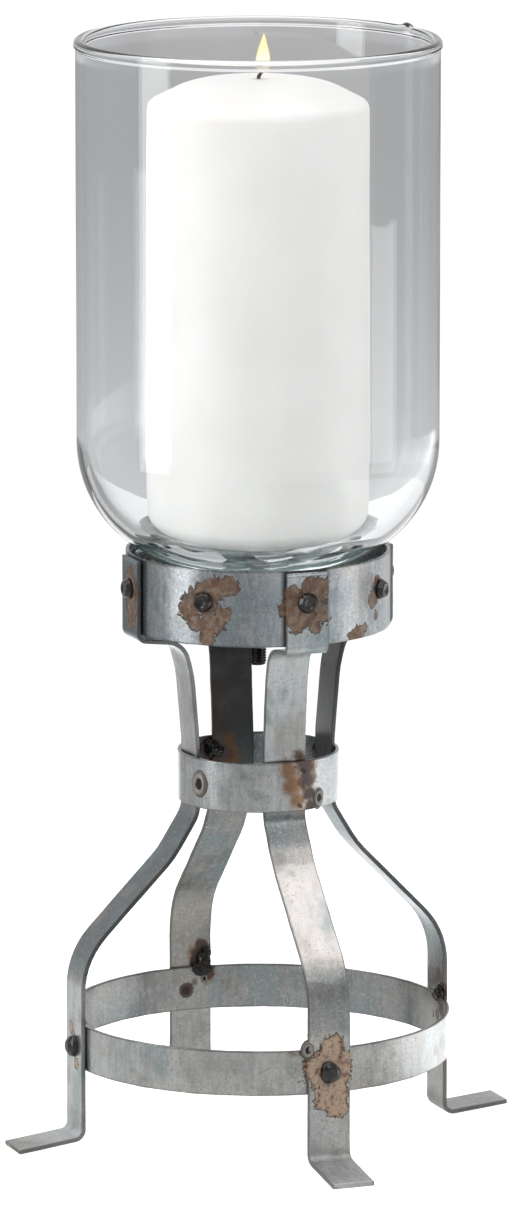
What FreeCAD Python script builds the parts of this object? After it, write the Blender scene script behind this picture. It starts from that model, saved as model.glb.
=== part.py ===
import FreeCAD, Part

# Candle lantern: a glass hurricane bolted into a strap-iron stand, with a pillar candle.
#
# Row frame: millimetres, +Z up, origin on the floor on the lantern's axis.
# The four legs stand on the +X, +Y, -X and -Y directions; +Z is the axis of the rings and glass.

import math
import os

import Sketcher

App = FreeCAD
doc = App.newDocument("candle_lantern")
XY, XZ, YZ = "XY_Plane", "XZ_Plane", "YZ_Plane"

# ---------------------------------------------------------------- driving dimensions

DIMENSIONS = [
    # Glass hurricane: a straight cylinder on a large rounded foot, thick at the bottom
    ("glass_radius", 82.0, "outside radius of the cylinder"),
    ("glass_wall", 3.8, "wall of the cylinder"),
    ("glass_floor", 6.5, "thickness of the flat bottom"),
    ("glass_bottom", 263.7, "height of the underside"),
    ("glass_height", 238.7, "underside to rim"),
    ("glass_outer_round", 55.8, "outside corner radius of the foot"),
    ("glass_inner_round", 52.0, "inside corner radius of the foot"),
    ("rim_bead", 0.8, "how far the fire-polished rim swells out"),
    ("rim_bead_height", 3.8, "height of the swelling below the rim"),
    ("rim_neck_round", 0.8, "rounding where the wall starts to swell"),
    ("rim_swell_round", 0.8, "rounding under the swelling's widest place"),
    ("rim_outer_round", 2.1, "rounding of the rim's outer edge"),
    ("rim_inner_round", 1.7, "rounding of the rim's inner edge"),
    ("glass_hole", 5.0, "radius of the hole for the centre bolt"),
    # Pillar candle and wick
    ("candle_foot_radius", 51.0, "candle radius at the foot"),
    ("candle_top_radius", 50.0, "candle radius at the shoulder"),
    ("candle_bottom", 276.1, "height of the candle's underside"),
    ("candle_shoulder", 473.5, "height where the side meets the crown"),
    ("candle_top", 484.3, "height of the flat middle of the crown"),
    ("candle_crown_radius", 29.0, "radius of the flat middle of the crown"),
    ("candle_edge_round", 8.0, "rounding of the bottom edge"),
    ("candle_shoulder_round", 5.0, "rounding of the shoulder"),
    ("candle_crown_round", 42.0, "rounding between crown slope and flat"),
    ("wick_hole", 1.0, "radius of the channel through the wax"),
    ("wick_radius", 0.9, "radius of the wick"),
    ("wick_straight", 2.5, "height above the wax where the wick leans over"),
    ("wick_bend", 2.2, "middle radius of the wick's bend"),
    ("wick_lean", 2.6, "how far the burnt tip leans over"),
    ("wick_tip_rise", 2.3, "how much higher the tip is than the bend"),
    # Steel sheet bands
    ("band_sheet", 1.6, "sheet thickness of the three bands"),
    ("collar_radius", 60.0, "outside radius of the collar"),
    ("collar_bottom", 235.5, "lower edge of the collar"),
    ("collar_height", 34.5, "height of the collar"),
    ("waist_radius", 36.8, "outside radius of the waist ring"),
    ("waist_bottom", 154.8, "lower edge of the waist ring"),
    ("waist_height", 22.8, "height of the waist ring"),
    ("base_radius", 87.5, "outside radius of the base ring"),
    ("base_bottom", 36.0, "lower edge of the base ring"),
    ("base_height", 20.5, "height of the base ring"),
    # Flat strap of the legs and cross straps
    ("strap_width", 20.0, "width of the flat strap"),
    ("strap_sheet", 2.0, "thickness of the flat strap"),
    ("snug_gap", 0.02, "play between a strap's edges and the ring they lie in"),
    ("leg_top", 269.2, "upper end of a leg"),
    ("under_collar_outer", 232.8, "middle of the strap where it turns in under the collar"),
    ("under_collar_inner", 230.4, "middle of the strap where it turns down again"),
    ("neck_radius", 39.6, "corner of the neck, from the axis"),
    ("neck_knee_radius", 35.4, "upper knee of the neck, from the axis"),
    ("neck_knee_height", 215.0, "height of the upper knee"),
    ("waist_entry_height", 182.0, "height where the strap turns parallel to the axis"),
    ("flare_start_height", 151.0, "height where the strap leaves the axis"),
    ("flare_knee_radius", 44.5, "second bend of the flare, from the axis"),
    ("flare_knee_height", 131.9, "height of the second bend"),
    ("flare_end_height", 87.0, "height where the flare turns down to the foot"),
    ("collar_bend", 3.6, "middle radius of the bend under the collar"),
    ("heel_bend", 4.5, "middle radius of the bend at the heel"),
    ("neck_bend", 11.0, "middle radius of the bend at the neck"),
    ("gentle_bend", 60.0, "middle radius of the two slight bends of the neck"),
    ("flare_start_bend", 14.0, "middle radius of the first bend of the flare"),
    ("flare_knee_bend", 45.0, "middle radius of the second bend of the flare"),
    ("flare_end_bend", 37.0, "middle radius of the bend above the base ring"),
    ("foot_reach", 119.5, "furthest point of every toe from the axis"),
    ("slope_right", -5.5, "how far each foot dips towards its toe, in degrees"),
    ("slope_back", 0.0, ""),
    ("slope_left", 7.0, ""),
    ("slope_front", 8.5, ""),
    ("tab_top", 266.0, "upper end of the cross straps' tabs"),
    ("cross_bend", 3.0, "middle radius of the cross straps' bends"),
    # M5 fasteners of the collar, rivets of the base ring
    ("collar_bolt_height", 255.5, "height of the eight collar bolts"),
    ("small_bolt_radius", 2.5, "shank of an M5 bolt"),
    ("small_hole_radius", 2.7, "clearance hole for M5"),
    ("small_bolt_length", 12.0, "length of an M5 bolt under its head"),
    ("small_head_radius", 4.65, "radius of the round head"),
    ("small_head_height", 3.2, "height of the round head"),
    ("small_head_chamfer", 1.7, "chamfer of the round head"),
    ("small_nut_flats", 8.0, "M5 nut across flats"),
    ("small_nut_height", 4.0, "M5 nut height"),
    ("small_nut_gap", 0.2, "play between a leg bolt's nut and the collar"),
    ("rivet_height", 46.0, "height of the base rivets"),
    ("rivet_head_height", 4.0, "height of a rivet's head"),
    ("rivet_head_chamfer", 2.4, "chamfer of a rivet's head"),
    # M8 centre bolt and everything threaded on it
    ("bolt_radius", 4.0, "shank of the M8 centre bolt"),
    ("bolt_bore", 4.2, "clearance hole for M8"),
    ("bolt_length", 55.0, "length under the head"),
    ("bolt_head_radius", 7.0, "radius of the low round head"),
    ("bolt_head_height", 4.4, "height of the low round head"),
    ("bolt_head_chamfer", 2.6, "chamfer of the low round head"),
    ("nut_flats", 13.0, "M8 nut across flats"),
    ("nut_height", 6.8, "M8 nut height"),
    ("head_gasket", 1.1, "rubber washer under the bolt head"),
    ("head_gasket_radius", 11.0, ""),
    ("seat_gasket", 2.0, "rubber washer the glass sits on"),
    ("seat_gasket_radius", 16.0, ""),
    ("seat_plate", 1.5, "wide steel washer under the seat gasket"),
    ("seat_plate_radius", 15.0, ""),
    ("flat_washer", 2.0, "M8 flat washer"),
    ("flat_washer_radius", 8.0, ""),
    ("spring_washer", 2.0, "M8 spring washer"),
    ("spring_washer_radius", 7.4, ""),
    ("spring_washer_gap", 1.2, "width of the cut in the spring washer"),
    # Weld lumps
    ("base_weld_side", 5.5, "base welds, sideways from the strap's middle"),
    ("base_weld_size", 3.8, "radius of the balls of a base weld"),
    ("base_weld_climb", 4.6, "height between the two balls of a base weld"),
    ("base_weld_inset", 0.2, "how far a base weld stays inside the ring's outer face"),
    ("base_weld_sink", 0.8, "how far the lower ball's middle is below the ring's edge"),
    ("waist_weld_side", 11.0, "waist welds, sideways from the strap's middle"),
    ("waist_weld_size", 2.7, "radius of the balls of a waist weld"),
    ("waist_weld_climb", 2.4, "height between the two balls of a waist weld"),
]

dims = doc.addObject("Spreadsheet::Sheet", "dims")
for row, (alias, number, note) in enumerate(DIMENSIONS, start=1):
    dims.set("A%d" % row, alias)
    dims.set("B%d" % row, repr(number))
    dims.set("C%d" % row, note)
    dims.setAlias("B%d" % row, alias)
doc.recompute()


ALIASES = [entry[0] for entry in DIMENSIONS]


def bound(text):
    """Turns the bare names of the driving dimensions in a formula into sheet references."""
    for alias in sorted(ALIASES, key=len, reverse=True):
        text = text.replace(alias, "<%d>" % ALIASES.index(alias))
    for number, alias in enumerate(ALIASES):
        text = text.replace("<%d>" % number, "dims." + alias)
    return text


def number_of(text):
    """Value of a formula of driving dimensions."""
    return float(dims.evalExpression(bound(text)))


def bind(item, prop, text):
    item.setExpression(prop, bound(text))


# ---------------------------------------------------------------- sketch and body helpers

subparts = []


def new_body(label, turn=0.0):
    """A PartDesign body that is one sub-part, turned about the lantern's axis by turn degrees."""
    body = doc.addObject("PartDesign::Body", label)
    body.Label = label
    body.AllowCompound = True
    body.Placement = App.Placement(App.Vector(), App.Rotation(App.Vector(0, 0, 1), turn))
    subparts.append(body)
    return body


def origin_item(body, role):
    return next(item for item in body.Origin.OriginFeatures if item.Role == role)


def new_sketch(body, name, plane, lift="0"):
    """A sketch on one of the body's own origin planes, moved along its normal by lift."""
    sketch = body.newObject("Sketcher::SketchObject", name)
    sketch.AttachmentSupport = [(origin_item(body, plane), "")]
    sketch.MapMode = "FlatFace"
    if lift != "0":
        bind(sketch, "AttachmentOffset.Base.z", lift)
    return sketch


def fix_point(sketch, geometry, position, x_text, y_text):
    """Dimensions a point of the sketch from the sketch's origin."""
    for kind, text in (("DistanceX", x_text), ("DistanceY", y_text)):
        size = number_of(text)
        index = sketch.addConstraint(Sketcher.Constraint(kind, -1, 1, geometry, position, size))
        bind(sketch, "Constraints[%d]" % index, text)


def add_circle(sketch, x_text, y_text, radius_text):
    centre = App.Vector(number_of(x_text), number_of(y_text), 0)
    circle = Part.Circle(centre, App.Vector(0, 0, 1), number_of(radius_text))
    geometry = sketch.addGeometry(circle, False)
    fix_point(sketch, geometry, 3, x_text, y_text)
    index = sketch.addConstraint(Sketcher.Constraint("Radius", geometry, circle.Radius))
    bind(sketch, "Constraints[%d]" % index, radius_text)


def bend_arc(before, corner, after, radius):
    """Arc of the given radius inside a corner, and whether the path turns left there."""
    arriving = (corner - before).normalize()
    leaving = (after - corner).normalize()
    left = arriving.cross(leaving).z > 0
    turn = arriving.getAngle(leaving)
    reach = radius * math.tan(turn / 2)
    first = corner - arriving * reach
    side = App.Vector(0, 0, 1 if left else -1).cross(arriving)
    centre = first + side * radius
    last = corner + leaving * reach
    start, end = (first, last) if left else (last, first)
    angles = [math.atan2(point.y - centre.y, point.x - centre.x) for point in (start, end)]
    if angles[1] < angles[0]:
        angles[1] += 2 * math.pi
    arc = Part.ArcOfCircle(Part.Circle(centre, App.Vector(0, 0, 1), radius), *angles)
    return arc, left, first, last


def draw_path(sketch, corners, closed):
    """Straight runs through dimensioned corners, each corner sharp or rounded by a tangent arc.

    corners holds (x, y, radius) formulas; radius is "" for a sharp corner.
    """
    points = [App.Vector(number_of(x), number_of(y), 0) for x, y, _ in corners]
    count = len(points)
    arcs = {}
    for index, (_, _, radius_text) in enumerate(corners):
        if radius_text:
            before, after = points[index - 1], points[(index + 1) % count]
            arcs[index] = bend_arc(before, points[index], after, number_of(radius_text))
    runs = []
    for index in range(count if closed else count - 1):
        following = (index + 1) % count
        start = arcs[index][3] if index in arcs else points[index]
        end = arcs[following][2] if following in arcs else points[following]
        runs.append(sketch.addGeometry(Part.LineSegment(start, end), False))
    for index, (x_text, y_text, radius_text) in enumerate(corners):
        arriving = runs[index - 1] if closed or index > 0 else None
        leaving = runs[index] if index < len(runs) else None
        if index not in arcs:
            if arriving is not None and leaving is not None:
                sketch.addConstraint(Sketcher.Constraint("Coincident", arriving, 2, leaving, 1))
            if leaving is not None:
                fix_point(sketch, leaving, 1, x_text, y_text)
            else:
                fix_point(sketch, arriving, 2, x_text, y_text)
            continue
        arc, left, _, _ = arcs[index]
        bend = sketch.addGeometry(arc, False)
        entry, leave = (1, 2) if left else (2, 1)
        sketch.addConstraint(Sketcher.Constraint("Tangent", arriving, 2, bend, entry))
        sketch.addConstraint(Sketcher.Constraint("Tangent", leaving, 1, bend, leave))
        radius_index = sketch.addConstraint(Sketcher.Constraint("Radius", bend, arc.Radius))
        bind(sketch, "Constraints[%d]" % radius_index, radius_text)
        mark = sketch.addGeometry(Part.Point(points[index]), True)
        sketch.addConstraint(Sketcher.Constraint("PointOnObject", mark, 1, arriving))
        sketch.addConstraint(Sketcher.Constraint("PointOnObject", mark, 1, leaving))
        fix_point(sketch, mark, 1, x_text, y_text)


def revolve(body, name, sketch, axis):
    feature = body.newObject("PartDesign::Revolution", name)
    feature.Profile = sketch
    feature.ReferenceAxis = (sketch, [axis])
    feature.Angle = 360
    body.Tip = feature
    return feature


def pad(body, name, sketch, length_text, reverse=False):
    feature = body.newObject("PartDesign::Pad", name)
    feature.Profile = sketch
    feature.Reversed = reverse
    bind(feature, "Length", length_text)
    body.Tip = feature
    return feature


def cut_through(body, name, sketch, both_ways=True):
    """Pocket through everything; both_ways cuts on both sides of the sketch."""
    feature = body.newObject("PartDesign::Pocket", name)
    feature.Profile = sketch
    feature.Type = "ThroughAll"
    feature.Midplane = both_ways
    body.Tip = feature
    return feature


def round_pattern(body, name, features, count):
    pattern = body.newObject("PartDesign::PolarPattern", name)
    pattern.Originals = features
    pattern.Axis = (origin_item(body, "Z_Axis"), [""])
    pattern.Angle = 360
    pattern.Occurrences = count
    body.Tip = pattern


def sweep_strap(body, corners):
    """Bends a flat strap along a path in the XZ plane; the path starts upright."""
    path = new_sketch(body, body.Label + "_path", XZ)
    draw_path(path, corners, closed=False)
    section = new_sketch(body, body.Label + "_section", XY, corners[0][1])
    middle = corners[0][0]
    inner = "%s - strap_sheet / 2" % middle
    outer = "%s + strap_sheet / 2" % middle
    draw_path(section, [
        (inner, "-strap_width / 2", ""),
        (outer, "-strap_width / 2", ""),
        (outer, "strap_width / 2", ""),
        (inner, "strap_width / 2", ""),
    ], closed=True)
    pipe = body.newObject("PartDesign::AdditivePipe", body.Label + "_strap")
    pipe.Profile = section
    pipe.Spine = (path, [])
    body.Tip = pipe


# ---------------------------------------------------------------- glass, candle and wick


def make_glass():
    body = new_body("glass_hurricane")
    profile = new_sketch(body, "glass_profile", XZ)
    rim = "glass_bottom + glass_height"
    inner_floor = "glass_bottom + glass_floor"
    draw_path(profile, [
        ("glass_hole", "glass_bottom", ""),
        ("glass_radius", "glass_bottom", "glass_outer_round"),
        ("glass_radius", rim + " - rim_bead_height - rim_bead", "rim_neck_round"),
        ("glass_radius + rim_bead", rim + " - rim_bead_height", "rim_swell_round"),
        ("glass_radius + rim_bead", rim, "rim_outer_round"),
        ("glass_radius - glass_wall", rim, "rim_inner_round"),
        ("glass_radius - glass_wall", inner_floor, "glass_inner_round"),
        ("glass_hole", inner_floor, ""),
    ], closed=True)
    revolve(body, "glass_wall", profile, "V_Axis")


def make_candle():
    body = new_body("candle")
    profile = new_sketch(body, "candle_profile", XZ)
    draw_path(profile, [
        ("wick_hole", "candle_bottom", ""),
        ("candle_foot_radius", "candle_bottom", "candle_edge_round"),
        ("candle_top_radius", "candle_shoulder", "candle_shoulder_round"),
        ("candle_crown_radius", "candle_top", "candle_crown_round"),
        ("wick_hole", "candle_top", ""),
    ], closed=True)
    revolve(body, "candle_wax", profile, "V_Axis")


def make_wick():
    """A wick through the whole candle, its burnt tip leaning over."""
    body = new_body("wick")
    path = new_sketch(body, "wick_path", XZ)
    bend_height = "candle_top + wick_straight"
    draw_path(path, [
        ("0", "candle_bottom", ""),
        ("0", bend_height, "wick_bend"),
        ("wick_lean", bend_height + " + wick_tip_rise", ""),
    ], closed=False)
    section = new_sketch(body, "wick_section", XY, "candle_bottom")
    add_circle(section, "0", "0", "wick_radius")
    pipe = body.newObject("PartDesign::AdditivePipe", "wick_cord")
    pipe.Profile = section
    pipe.Spine = (path, [])
    body.Tip = pipe


# ---------------------------------------------------------------- bands


def make_band(label, prefix, hole_height="", hole_count=0):
    """A ring rolled from flat sheet, with a round of radial holes where fasteners pass."""
    body = new_body(label)
    section = new_sketch(body, label + "_section", XY, prefix + "_bottom")
    add_circle(section, "0", "0", prefix + "_radius")
    add_circle(section, "0", "0", prefix + "_radius - band_sheet")
    pad(body, label + "_sheet", section, prefix + "_height")
    if hole_count:
        hole = new_sketch(body, label + "_hole", YZ)
        add_circle(hole, "0", hole_height, "small_hole_radius")
        pocket = cut_through(body, label + "_drill", hole, both_ways=False)
        round_pattern(body, label + "_holes", [pocket], hole_count)


# ---------------------------------------------------------------- legs


def make_leg(side, turn):
    """One strap from the collar down through the waist ring to a foot outside the base ring."""
    slope = "slope_" + side
    base_middle = "(base_radius + strap_sheet / 2)"
    waist_middle = "sqrt((waist_radius - band_sheet)^2 - (strap_width / 2)^2) - strap_sheet / 2 - snug_gap"
    toe = "(foot_reach - strap_sheet / 2 * abs(sin(%s)))" % slope
    drop = "(%s - %s) * tan(%s)" % (toe, base_middle, slope)
    heel_over_toe = "strap_sheet / 2 * cos(%s) + %s" % (slope, drop)
    heel_over_bend = "heel_bend + strap_sheet / 2 - heel_bend * tan(45 - %s / 2)" % slope
    heel = "max(%s; %s)" % (heel_over_toe, heel_over_bend)
    body = new_body("leg_" + side, turn)
    sweep_strap(body, [
        ("collar_radius + strap_sheet / 2", "leg_top", ""),
        ("collar_radius + strap_sheet / 2", "under_collar_outer", "collar_bend"),
        ("neck_radius", "under_collar_inner", "neck_bend"),
        ("neck_knee_radius", "neck_knee_height", "gentle_bend"),
        (waist_middle, "waist_entry_height", "gentle_bend"),
        (waist_middle, "flare_start_height", "flare_start_bend"),
        ("flare_knee_radius", "flare_knee_height", "flare_knee_bend"),
        (base_middle, "flare_end_height", "flare_end_bend"),
        (base_middle, heel, "heel_bend"),
        (toe, "%s - %s" % (heel, drop), ""),
    ])
    holes = new_sketch(body, "holes_" + side, YZ)
    add_circle(holes, "0", "collar_bolt_height", "small_hole_radius")
    add_circle(holes, "0", "rivet_height", "small_hole_radius")
    cut_through(body, "drill_" + side, holes)


# ---------------------------------------------------------------- cross straps under the glass


def make_cross_strap(label, turn, level):
    """A U of flat strap across the collar's lower edge, its tabs bolted inside the collar."""
    inner = "(collar_radius - band_sheet)"
    tab = "(sqrt(%s^2 - (strap_width / 2)^2) - strap_sheet / 2 - snug_gap)" % inner
    floor = "collar_bottom + strap_sheet * %g" % (level + 0.5)
    body = new_body(label, turn)
    sweep_strap(body, [
        ("-" + tab, "tab_top", ""),
        ("-" + tab, floor, "cross_bend"),
        (tab, floor, "cross_bend"),
        (tab, "tab_top", ""),
    ])
    bore = new_sketch(body, label + "_bore", XY)
    add_circle(bore, "0", "0", "bolt_bore")
    cut_through(body, label + "_drill", bore)
    tab_holes = new_sketch(body, label + "_tab_hole", YZ)
    add_circle(tab_holes, "0", "collar_bolt_height", "small_hole_radius")
    cut_through(body, label + "_tab_drill", tab_holes)


# ---------------------------------------------------------------- fasteners


def make_radial_bolts(label, turn, height, seat, length, head_height, chamfer):
    """Four headed pins pointing at the axis; seat is the radius the heads bear on."""
    body = new_body(label, turn)
    profile = new_sketch(body, label + "_profile", XZ)
    draw_path(profile, [
        ("%s - %s" % (seat, length), height, ""),
        ("%s + %s" % (seat, head_height), height, ""),
        ("%s + %s" % (seat, head_height), "%s + small_head_radius - %s" % (height, chamfer), ""),
        ("%s + %s - %s" % (seat, head_height, chamfer), height + " + small_head_radius", ""),
        (seat, height + " + small_head_radius", ""),
        (seat, height + " + small_bolt_radius", ""),
        ("%s - %s" % (seat, length), height + " + small_bolt_radius", ""),
    ], closed=True)
    turned = revolve(body, label + "_turned", profile, "V_Axis")
    turned.ReferenceAxis = (profile, ["Edge1"])
    round_pattern(body, label + "_round", [turned], 4)


def make_radial_nuts(label, turn, outer):
    """Four M5 nuts on the inner ends of the radial bolts; outer is the radius they bear on."""
    body = new_body(label, turn)
    section = new_sketch(body, label + "_section", YZ, outer)
    corners = []
    for corner in range(6):
        angle = 60 * corner
        reach = "small_nut_flats / sqrt(3)"
        corners.append(("%s * cos(%d)" % (reach, angle),
                        "collar_bolt_height + %s * sin(%d)" % (reach, angle), ""))
    draw_path(section, corners, closed=True)
    add_circle(section, "0", "collar_bolt_height", "small_bolt_radius")
    nut = pad(body, label + "_nut", section, "small_nut_height", reverse=True)
    round_pattern(body, label + "_round", [nut], 4)


def make_centre_bolt(head_seat):
    body = new_body("centre_bolt")
    profile = new_sketch(body, "centre_bolt_profile", XZ)
    top = head_seat + " + bolt_head_height"
    draw_path(profile, [
        ("0", head_seat + " - bolt_length", ""),
        ("bolt_radius", head_seat + " - bolt_length", ""),
        ("bolt_radius", head_seat, ""),
        ("bolt_head_radius", head_seat, ""),
        ("bolt_head_radius", top + " - bolt_head_chamfer", ""),
        ("bolt_head_radius - bolt_head_chamfer", top, ""),
        ("0", top, ""),
    ], closed=True)
    revolve(body, "centre_bolt_turned", profile, "V_Axis")


def make_washer(label, radius, bottom, thickness, bore="bolt_radius"):
    body = new_body(label)
    section = new_sketch(body, label + "_section", XY, bottom)
    add_circle(section, "0", "0", radius)
    add_circle(section, "0", "0", bore)
    pad(body, label + "_disc", section, thickness)
    return body


def make_hex_nut(label, bottom):
    body = new_body(label)
    section = new_sketch(body, label + "_section", XY, bottom)
    reach = "nut_flats / sqrt(3)"
    corners = [("%s * cos(%d)" % (reach, 60 * side), "%s * sin(%d)" % (reach, 60 * side), "")
               for side in range(6)]
    draw_path(section, corners, closed=True)
    add_circle(section, "0", "0", "bolt_radius")
    pad(body, label + "_hex", section, "nut_height")


def split_spring_washer(body, bottom):
    """Cuts the gap through one side of the spring washer."""
    gap = new_sketch(body, "spring_washer_gap_sketch", XY, bottom)
    draw_path(gap, [
        ("0", "-spring_washer_gap / 2", ""),
        ("spring_washer_radius + spring_washer_gap", "-spring_washer_gap / 2", ""),
        ("spring_washer_radius + spring_washer_gap", "spring_washer_gap / 2", ""),
        ("0", "spring_washer_gap / 2", ""),
    ], closed=True)
    cut_through(body, "spring_washer_cut", gap)


def make_centre_stack():
    """Glass clamped on the centre bolt: gaskets, seat plate, nuts and washers, from the top down."""
    head_seat = "glass_bottom + glass_floor + head_gasket"
    make_washer("head_gasket", "head_gasket_radius", "glass_bottom + glass_floor", "head_gasket")
    make_centre_bolt(head_seat)
    seat_bottom = "glass_bottom - seat_gasket"
    make_washer("seat_gasket", "seat_gasket_radius", seat_bottom, "seat_gasket")
    plate_bottom = seat_bottom + " - seat_plate"
    make_washer("seat_plate", "seat_plate_radius", plate_bottom, "seat_plate")
    make_hex_nut("seat_nut", plate_bottom + " - nut_height")
    make_hex_nut("cross_nut", "collar_bottom + 2 * strap_sheet")
    washer_bottom = "collar_bottom - flat_washer"
    make_washer("flat_washer", "flat_washer_radius", washer_bottom, "flat_washer")
    spring_bottom = washer_bottom + " - spring_washer"
    spring = make_washer("spring_washer", "spring_washer_radius", spring_bottom, "spring_washer")
    split_spring_washer(spring, spring_bottom)
    make_hex_nut("clamp_nut", spring_bottom + " - nut_height")


# ---------------------------------------------------------------- weld lumps


def weld_lump(name, turn, radius, side, height, size, climb):
    """One bead of weld metal: two balls, the upper one climb higher, run together."""
    spin = App.Rotation(App.Vector(0, 0, 1), turn)
    balls = []
    for step in range(2):
        ball = doc.addObject("Part::Sphere", "%s_ball_%d" % (name, step))
        bind(ball, "Radius", size)
        level = "%s + %s * %d" % (height, climb, step)
        spot = App.Vector(number_of(radius), number_of(side), number_of(level))
        ball.Placement = App.Placement(spin.multVec(spot), App.Rotation())
        balls.append(ball)
    lump = doc.addObject("Part::MultiFuse", name)
    lump.Shapes = balls
    return lump


def make_welds(label, prefix, radius, side, height, size, climb):
    """Four weld lumps, trimmed to the faces of the ring and the straps they join."""
    lumps = []
    for count in range(4):
        name = "%s_lump_%d" % (label, count)
        lumps.append(weld_lump(name, 90 * count, radius, side, height, size, climb))
    together = doc.addObject("Part::Compound", label + "_lumps")
    together.Links = lumps
    disc = doc.addObject("Part::Cylinder", label + "_disc")
    bind(disc, "Radius", prefix + "_radius")
    hole = doc.addObject("Part::Cylinder", label + "_hole")
    bind(hole, "Radius", prefix + "_radius - band_sheet")
    for item in (disc, hole):
        bind(item, "Height", prefix + "_height")
        bind(item, "Placement.Base.z", prefix + "_bottom")
    ring = doc.addObject("Part::Cut", label + "_ring")
    ring.Base = disc
    ring.Tool = hole
    tools = doc.addObject("Part::Compound", label + "_tools")
    tools.Links = [ring] + [doc.getObject("leg_" + leg) for leg in LEGS]
    trimmed = doc.addObject("Part::Cut", label)
    trimmed.Base = together
    trimmed.Tool = tools
    trimmed.Label = label
    subparts.append(trimmed)


# ---------------------------------------------------------------- the lantern

LEGS = {"right": 0, "back": 90, "left": 180, "front": 270}

make_glass()
make_candle()
make_wick()
make_band("collar_band", "collar", "collar_bolt_height", 8)
make_band("waist_ring", "waist")
make_band("base_ring", "base", "rivet_height", 4)
for leg_side, leg_turn in LEGS.items():
    make_leg(leg_side, leg_turn)
make_cross_strap("cross_strap_lower", 45, 0)
make_cross_strap("cross_strap_upper", 135, 1)

STRAP_FACE = "collar_radius + strap_sheet"
make_radial_bolts("leg_bolts", 0, "collar_bolt_height", STRAP_FACE, "small_bolt_length",
                  "small_head_height", "small_head_chamfer")
make_radial_nuts("leg_nuts", 0, "collar_radius - band_sheet - small_nut_gap")
make_radial_bolts("tab_bolts", 45, "collar_bolt_height", "collar_radius", "small_bolt_length",
                  "small_head_height", "small_head_chamfer")
TAB_INNER_FACE = ("sqrt((collar_radius - band_sheet)^2 - (strap_width / 2)^2)"
                  " - strap_sheet - snug_gap")
make_radial_nuts("tab_nuts", 45, TAB_INNER_FACE)
make_radial_bolts("base_rivets", 0, "rivet_height", "base_radius + strap_sheet",
                  "strap_sheet + band_sheet", "rivet_head_height", "rivet_head_chamfer")
make_centre_stack()
doc.recompute()
make_welds("base_welds", "base", "base_radius - base_weld_size - base_weld_inset", "-base_weld_side",
           "base_bottom + base_height - base_weld_sink", "base_weld_size", "base_weld_climb")
make_welds("waist_welds", "waist", "waist_radius - band_sheet - waist_weld_size", "waist_weld_side",
           "waist_bottom + waist_height", "waist_weld_size", "waist_weld_climb")
doc.recompute()

# ---------------------------------------------------------------- checks and export

for item in doc.Objects:
    if "Invalid" in item.State or "Error" in item.State:
        raise RuntimeError("%s failed: %s" % (item.Name, item.State))

os.makedirs("parts", exist_ok=True)
for item in subparts:
    shape = item.Shape
    if shape.isNull() or not shape.isValid() or not shape.Solids:
        raise RuntimeError("%s has no valid solid" % item.Label)
    shape.exportStep("parts/%s.step" % item.Label)
    box = shape.BoundBox
    print("%-18s %d solids %10.1f mm3  z %.2f to %.2f  x %.2f to %.2f" % (
        item.Label, len(shape.Solids), shape.Volume, box.ZMin, box.ZMax, box.XMin, box.XMax))
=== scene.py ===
"""Looks of the candle lantern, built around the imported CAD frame."""
from math import atan2, ceil, copysign, cos, degrees, exp, hypot, pi, radians, sin, sqrt, tan

import bmesh
import bpy
from mathutils import Matrix, Vector, noise


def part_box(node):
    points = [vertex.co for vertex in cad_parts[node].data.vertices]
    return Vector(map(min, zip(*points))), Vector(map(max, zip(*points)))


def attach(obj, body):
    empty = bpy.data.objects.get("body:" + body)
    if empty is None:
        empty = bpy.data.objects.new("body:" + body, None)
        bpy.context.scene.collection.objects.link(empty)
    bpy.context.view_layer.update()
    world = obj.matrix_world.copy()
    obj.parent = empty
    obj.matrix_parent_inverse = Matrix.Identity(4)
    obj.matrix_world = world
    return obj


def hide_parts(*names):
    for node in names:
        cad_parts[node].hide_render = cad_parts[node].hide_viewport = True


MM = 0.001
BACK_OF_SHEET = 30.0   # keeps the streaks of a sheet's two faces apart, millimetres
PHOTO_SIDE = 21.0      # the camera stands this far to the left of the lantern's front, degrees
CAMERA_RISE = 10.8     # and this far above the horizon, degrees
CAMERA_DISTANCE = 4.0824
CAMERA_TARGET = (0.0, 0.0, 0.2447)
LENS = 268.88

# The lantern's sizes, millimetres
GLASS_BOTTOM, GLASS_TOP = 263.7, 502.4
GLASS_RADIUS, GLASS_WALL, GLASS_FLOOR = 82.0, 3.8, 6.5
RIM_BEAD, RIM_BEAD_HEIGHT = 0.8, 3.8
RIM_NUB = (123, 81.0)            # a drip left on the rim: angle from the camera, radius
NUB_RISE, NUB_REACH = 1.6, 3.0
CANDLE_RADIUS, CANDLE_BOTTOM, CANDLE_TOP = 50.0, 276.1, 484.3
FLAME_BOTTOM, FLAME_TOP = 486.0, 504.6
COLLAR = (60.0, 235.5, 34.5)     # outside radius, lower edge, height
WAIST = (36.8, 154.8, 22.8)
BASE = (87.5, 36.0, 20.5)
BAND_SHEET, STRAP_SHEET, STRAP_WIDTH = 1.6, 2.0, 20.0
SNUG_GAP = 0.02
LEG_TOP, TAB_TOP = 269.2, 266.0
LEGS = {"right": (0, -5.5), "back": (90, 0.0), "left": (180, 7.0), "front": (270, 8.5)}  # turn, foot's slope
HEEL_BEND, TOE_REACH = 4.5, 119.5
BOLT_HEIGHT, RIVET_HEIGHT = 255.5, 46.0
BOLT_LENGTH, BOLT_HEAD, BOLT_SHANK = 12.0, 3.2, 2.5
STUD_TOP, STUD_END, STUD_PITCH = 271.3, 216.3, 1.25
STATION_STEP = 2.2               # length of a mesh cell along a strap

UP = Vector((0, 0, 1))

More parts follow.
